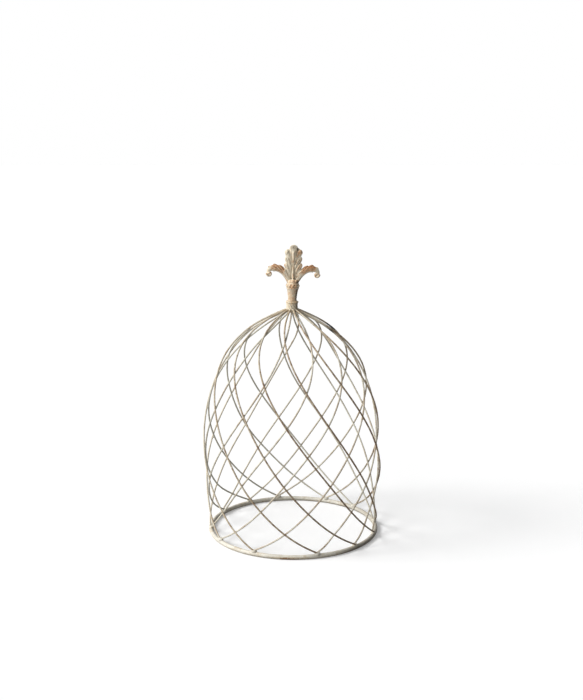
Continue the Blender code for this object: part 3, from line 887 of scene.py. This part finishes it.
finialWearAndLight = {  # places, and how much stain, dirt, lift, painted shade or painted light each of them has
    # steps and reach of the relief, and the painted shade on sides turned from the light
    "steps": 16, "reach": 0.0010, "shadedSideDark": 0.36,
    "armSpan": ((12, 18), (36, 41)), "armAbove": (60, 66), "armFacingUp": (-0.45, 0.1),
    # the arms' stain is lessened on the left as painted light and raised on the right as painted shade
    "armBeside": (0, 5), "armLeftLitLess": 0.2, "armRightShadeMore": 0.25,
    "moulding": ((37, 39), (45, 47)), "mouldingStain": 0.2, "mouldingFront": 0.8, "mouldingReach": 6,
    "lobeAt": (10, 101), "lobeReach": (14, 14), "lobeStain": 0.5,
    "stemBelow": (36, 38), "stemFront": (-4, 2), "stemStain": 0.40, "stemStainLess": 0.06,
    "stemDirt": 0.13, "stemDirtLess": 0.05,
    "cup": ((45, 47), (52, 55)), "cupStain": 0.4,
    "tipAt": (-1, 111), "tipReach": (45, 45), "tipDarker": 0.50,
    # painted shadow in the gap at the top right
    "gapAt": (7.4, 106.6), "gapReach": (2.2, 5), "gapShadow": 1.1,
    # painted light: the leaf's left half, facing the light, is kept paler
    "litLeftSpan": ((2, 5), (14, 17)), "litLeftAbove": (56, 62), "litLeftLift": 0.14, "litLeftCap": 0.56,
    "leafAbove": (54, 60), "leafLift": 0.14, "hollowLift": 0.5,
    # painted shade on the leaf's right, on surfaces turned from the light
    "shadedWay": (0.1, 0.6), "shadedWayRight": (3, 8), "shadedWayAbove": (46, 50), "shadedWayDark": 0.20,
    "ends": ((36, 38), (54, 57)),
    "rightEnd": (7, 11), "rightDarker": 0.10, "leftEnd": (5, 9), "leftDarker": 0.14,
}


def bezierRow(corners, count):
    return [Vector(p) for p in interpolate_bezier(*[Vector(c) for c in corners], count)]


def makeArm():
    shape = finialShape
    rise = bezierRow(shape["armRise"], shape["riseSteps"])
    curl = bezierRow(shape["armCurl"], shape["curlSteps"])[1:]
    first, most, last = shape["armRadius"]
    radii = [*np.linspace(first, most, len(rise)), *np.linspace(most, last, len(curl) + 1)[1:]]
    route = [(p.x / 1000, 0, p.y / 1000) for p in rise + curl]
    arm = tubeAlong("arm", route, [radius / 1000 for radius in radii], rodShape["limbSides"])
    pieces = [flatten(arm, shape["armFlat"])]
    for x, height in shape["leaflets"]:
        for root, bend, tip, *build in shape["leaflet"]:
            spots = [(x + across, height + up) for across, up in (root, bend, tip)]
            pieces.append(limb(*spots, *build))
    pieces.append(scroll(shape["volute"], *shape["scroll"]))
    pieces.append(knob(shape["volute"][0], 0, shape["volute"][1], *shape["voluteCore"]))
    return pieces


def makeRightHalf():  # the right lobes and arm, mirrored to the left and to the back
    pieces = [limb(*row) for row in finialShape["right"]]
    pieces.append(knob(*finialShape["button"]))
    pieces += makeArm()
    half = joinPieces(pieces, "half")
    applyModifier(half, "mirror", "MIRROR", use_axis=(True, True, False), use_mirror_merge=False)
    return half


def aroundStem(name, piece, count):  # copies of one small shape round the stem
    copies = []
    for i in range(count):
        selectOnly([piece])
        bpy.ops.object.duplicate(linked=False)
        copy = bpy.context.object
        copy.rotation_euler = (0, 0, math.tau * i / count)
        bpy.ops.object.transform_apply(rotation=True)
        copies.append(copy)
    bpy.data.objects.remove(piece)
    return joinPieces(copies, name)


def makeStem():
    shape = finialShape
    pieces = [turnedRows("stem", shape["stem"], shape["stemSides"])]
    pieces.append(turnedRows("spigot", shape["spigot"], shape["spigotSides"]))
    pieces.append(aroundStem("beads", knob(*shape["bead"]), shape["beads"]))
    petal = limb(*shape["petal"])
    petal.location = (0, -shape["petalOut"] / 1000, 0)
    petal.rotation_euler = (math.radians(shape["petalTilt"]), 0, 0)
    bpy.ops.object.transform_apply(location=True, rotation=True)
    pieces.append(aroundStem("petals", petal, shape["petals"]))
    return pieces


def grooveDepth(points, rows):  # how deep the carving goes at each point, in mm
    x = np.abs(points[:, 0]) * 1000
    height = points[:, 2] * 1000
    total = np.zeros(len(points))
    for corners, depth, width in rows:
        line = bezierRow(corners, grooveShape["steps"])
        nearest = np.full(len(points), np.inf)
        taper = np.zeros(len(points))
        for i, (a, b) in enumerate(zip(line, line[1:])):
            a = np.array(a)
            along = np.array(b) - a
            share = np.clip(((x - a[0]) * along[0] + (height - a[1]) * along[1]) / (along @ along), 0, 1)
            gap = np.hypot(x - a[0] - share * along[0], height - a[1] - share * along[1])
            place = (i + share) / (len(line) - 1)
            ends = np.minimum(place, grooveShape["overrun"] - place) * grooveShape["taper"]
            taper = np.where(gap < nearest, np.minimum(1, ends), taper)
            nearest = np.minimum(nearest, gap)
        total = np.maximum(total, depth * taper * np.exp(-(nearest / width) ** 2))
    return total


def carve(piece):  # pushes the surface in along its own normals by a weight painted on it
    shape = grooveShape
    points, _, normals = meshArrays(piece)
    across = points[:, 0] * 1000
    onLeaf = 1 - ramp(np.abs(across), *shape["leafEdge"])
    onRight = ramp(across, *shape["rightHalf"])
    softLeft = shape["leftSoftness"] * (1 - onRight) * ramp(-across, *shape["leftSoftFrom"])
    shares = {
        "leaf": onLeaf * (1 - softLeft), "leafRight": onLeaf * onRight, "leafLeft": onLeaf * (1 - onRight),
        "arm": 1 - onLeaf * shape["armOnLeaf"],
    }
    depths = [grooveDepth(points, carving[name]) * share for name, share in shares.items()]
    depths = np.maximum.reduce(depths) * ramp(np.abs(normals[:, 1]), *shape["facing"])
    deepest = float(depths.max())
    group = piece.vertex_groups.new(name="grooves")
    for i in np.nonzero(depths > shape["least"])[0]:
        group.add([int(i)], float(depths[i]) / deepest, "REPLACE")
    applyModifier(piece, "carve", "DISPLACE", strength=-deepest / 1000, mid_level=0, vertex_group="grooves")
    piece.vertex_groups.clear()


def paintFinialWearAndLight(finial):
    wear = finialWearAndLight
    reliefAndShade = storeReliefAndShade(finial, wear["steps"], wear["reach"], wear["shadedSideDark"])
    points, _, normals = meshArrays(finial)
    across = points[:, 0] * 1000
    height = points[:, 2] * 1000

    def spot(place, reach):
        return np.exp(-(across - place[0]) ** 2 / reach[0] - (height - place[1]) ** 2 / reach[1])

    arms = band(np.abs(across), *wear["armSpan"]) * ramp(height, *wear["armAbove"])
    arms *= ramp(normals[:, 2], *wear["armFacingUp"])
    # less stain on the left arm and more on the right: painted light and painted shade
    arms *= (1 - wear["armLeftLitLess"] * ramp(-across, *wear["armBeside"])
             + wear["armRightShadeMore"] * ramp(across, *wear["armBeside"]))
    front = wear["mouldingFront"] * np.exp(-(across / wear["mouldingReach"]) ** 2)
    moulding = band(height, *wear["moulding"]) * (wear["mouldingStain"] + front)
    onStem = 1 - ramp(height, *wear["stemBelow"])
    stemRight = ramp(across, *wear["stemFront"])
    stem = onStem * (wear["stemStain"] - wear["stemStainLess"] * stemRight)
    cup = wear["cupStain"] * band(height, *wear["cup"])
    lobe = wear["lobeStain"] * spot(wear["lobeAt"], wear["lobeReach"])
    setPointValues(finial, "rustZone", np.maximum.reduce([arms, moulding, lobe, stem, cup]))

    # painted light on the leaf's left half: less dark in its hollows and less stain on its edges
    litLeftSide = band(-across, *wear["litLeftSpan"]) * ramp(height, *wear["litLeftAbove"])
    lift = wear["leafLift"] + wear["hollowLift"] * np.maximum(reliefRules["flat"] - reliefAndShade, 0)
    reliefAndShade += wear["litLeftLift"] * litLeftSide + lift * ramp(height, *wear["leafAbove"])
    reliefAndShade -= litLeftSide * np.maximum(reliefAndShade - wear["litLeftCap"], 0)
    # painted shade on the leaf's right, on surfaces turned from the light
    shadedWay = shadedSide(normals, *wear["shadedWay"]) * ramp(across, *wear["shadedWayRight"]) * ramp(height, *wear["shadedWayAbove"])
    # darker at both ends of the moulding and cup
    sides = wear["rightDarker"] * ramp(across, *wear["rightEnd"])
    sides += wear["leftDarker"] * ramp(-across, *wear["leftEnd"])
    reliefAndShade -= wear["shadedWayDark"] * shadedWay + sides * band(height, *wear["ends"])
    reliefAndShade -= onStem * (wear["stemDirt"] - wear["stemDirtLess"] * stemRight)
    # darker about the top lobe's tip
    reliefAndShade -= wear["tipDarker"] * spot(wear["tipAt"], wear["tipReach"])
    # painted shadow in the gap at the top right, on the filler knob behind it
    reliefAndShade -= wear["gapShadow"] * spot(wear["gapAt"], wear["gapReach"])
    setPointValues(finial, "reliefAndShade", np.clip(reliefAndShade, 0, 1))


def makeFinial():
    shape = finialShape
    pieces = makeStem() + [limb(*row) for row in shape["middle"] + shape["leftEdge"]] + [makeRightHalf()]
    # a filler knob behind the gap at the top right, painted dark as its shadow
    pieces.append(knob(*shape["gapShadowFiller"]))
    finial = joinPieces(pieces, "finial_casting")
    applyModifier(finial, "cast in one", "REMESH", mode="VOXEL", voxel_size=shape["voxel"])
    applyModifier(finial, "soften", "SMOOTH", factor=0.5, iterations=shape["softenings"])
    carve(finial)
    applyModifier(finial, "soften cuts", "SMOOTH", factor=0.5, iterations=1)
    roughen(finial, "castSkin", shape["skinScale"], shape["skinDepth"])
    paintFinialWearAndLight(finial)
    finial.location = shape["crown"]
    finial.rotation_euler = (0, shape["lean"], 0)
    print("finial casting:", len(finial.data.polygons), "faces")
    finishPiece(finial, "finial", ["finial"])


makeFinial()


# Collar under the finial, and the weld that gathers the wires, in mm about the crown
collarShape = {
    "rows": (
        (5.5, -5.7), (7.4, -5.2), (8.6, -3.8), (9.3, -1.8), (9.6, 1), (9.5, 5), (9.5, 9), (9.6, 11),
        (10, 12), (10.6, 12.5), (10.9, 13.4), (10.7, 14.3), (10, 14.9), (8.8, 15.1), (7.6, 15.1),
        (7, 14.8)),
    "sides": 64,
    "lumps": (  # degrees from the right round by the front, height, reach and radius
        (-14, 12.4, 9.7, 2.1), (200, 12.8, 9.4, 1.5), (-100, 1.2, 8.6, 2.2), (242, -4.4, 8.4, 2.2),
        (60, -3.6, 8.6, 1.9), (-20, -2.6, 9, 1.8), (190, -1.4, 9.2, 2.2), (155, -3, 8.4, 2),
        (100, -3, 8.6, 2.1), (310, -2.6, 8.4, 1.9)),
    "voxel": 0.00035, "softenings": 6, "skinScale": 0.003, "skinDepth": 0.0006,
    "reliefSteps": 14, "reliefReach": 0.0009, "shadedSideDark": 0.28,
    "brownBlob": (-4.5, -8.5, -5), "blobFade": (2.5, 5),
}


def makeCollar():
    shape = collarShape
    pieces = [turnedRows("collar_sleeve", shape["rows"], shape["sides"])]
    for degrees, height, reach, radius in shape["lumps"]:
        angle = math.radians(degrees)
        pieces.append(knob(reach * math.cos(angle), reach * math.sin(angle), height, radius, radius))
    collar = joinPieces(pieces, "collar_sleeve")
    applyModifier(collar, "melt together", "REMESH", mode="VOXEL", voxel_size=shape["voxel"])
    applyModifier(collar, "soften", "SMOOTH", factor=0.5, iterations=shape["softenings"])
    roughen(collar, "weldSkin", shape["skinScale"], shape["skinDepth"])
    # relief lowered by painted shade on the side turned from the light
    storeReliefAndShade(collar, shape["reliefSteps"], shape["reliefReach"], shape["shadedSideDark"])
    points, _, _ = meshArrays(collar)
    blob = fadeAround(points * 1000, shape["brownBlob"], 1, shape["blobFade"])
    setPointValues(collar, "rustZone", blob)
    collar.location = finialShape["crown"]
    finishPiece(collar, "collar", ["collar"])


makeCollar()
print("collar made")


# Weld beads where the wires stand on the ring, and paint pooled where they cross
weldShape = {
    "footSize": (0.0043, 0.0054, 0.0037), "footHeight": 0.0083, "footDetail": 3,
    "crossSize": (0.0013, 0.0013, 0.001625), "crossDetail": 2, "crossBetween": (0.02, 0.97),
    "lumpiness": 0.18, "uniform": 0.2, "normal": 0.8, "softness": 0.3,
}


def lumpyBead(size, detail, seed, place, azimuth):
    bpy.ops.mesh.primitive_ico_sphere_add(subdivisions=detail, radius=1)
    bead = bpy.context.object
    bead.scale = size
    bpy.ops.object.transform_apply(scale=True)
    startEdit()
    bpy.ops.transform.vertex_random(offset=min(size) * weldShape["lumpiness"], uniform=weldShape["uniform"],
                                    normal=weldShape["normal"], seed=seed)
    bpy.ops.mesh.vertices_smooth(factor=weldShape["softness"], repeat=1)
    endEdit()
    bead.location = place
    bead.rotation_euler = (0, 0, azimuth)
    bpy.ops.object.transform_apply(location=True, rotation=True)
    return bead


def joinWelds(beads, name):
    welds = joinPieces(beads, name)
    setPointValues(welds, "reliefAndShade", [reliefRules["flat"]] * len(welds.data.vertices))
    return welds


def makeFootWelds():
    shape = weldShape
    beads = []
    for i, foot in enumerate(domeShape["feet"]):
        azimuth = math.radians(foot)
        place = aroundRing(azimuth, domeShape["ringRadius"], shape["footHeight"] - ringMiddle.z)
        beads.append(lumpyBead(shape["footSize"], shape["footDetail"], i, place, azimuth))
    finishPiece(joinWelds(beads, "foot_welds"), "ring")


def crossings(profile):  # where each outer wire passes over each inner one
    numbers = range(1, len(domeShape["feet"]) + 1)
    turned = {}
    for layer in layers:
        for number in numbers:
            turned[layer, number] = [azimuthAt(shareOf(point), layer, number) for point, _ in profile]
    lowest, highest = weldShape["crossBetween"]
    found = []
    for outer in numbers:
        for inner in numbers:
            gaps = np.subtract(turned["inner", inner], turned["outer", outer]) / math.tau
            for k in np.nonzero(np.diff(np.floor(gaps)))[0]:
                point, normal = profile[k]
                if lowest < shareOf(point) < highest:
                    azimuth = turned["outer", outer][k]
                    found.append((domePoint(point, normal, azimuth, 0), azimuth))
    return found


def makeCrossingWelds():
    shape = weldShape
    beads = [lumpyBead(shape["crossSize"], shape["crossDetail"], i, place, azimuth)
             for i, (place, azimuth) in enumerate(crossings(domeLine))]
    print("wires cross at", len(beads), "places")
    finishPiece(joinWelds(beads, "crossing_welds"), "inner")


makeFootWelds()
makeCrossingWelds()
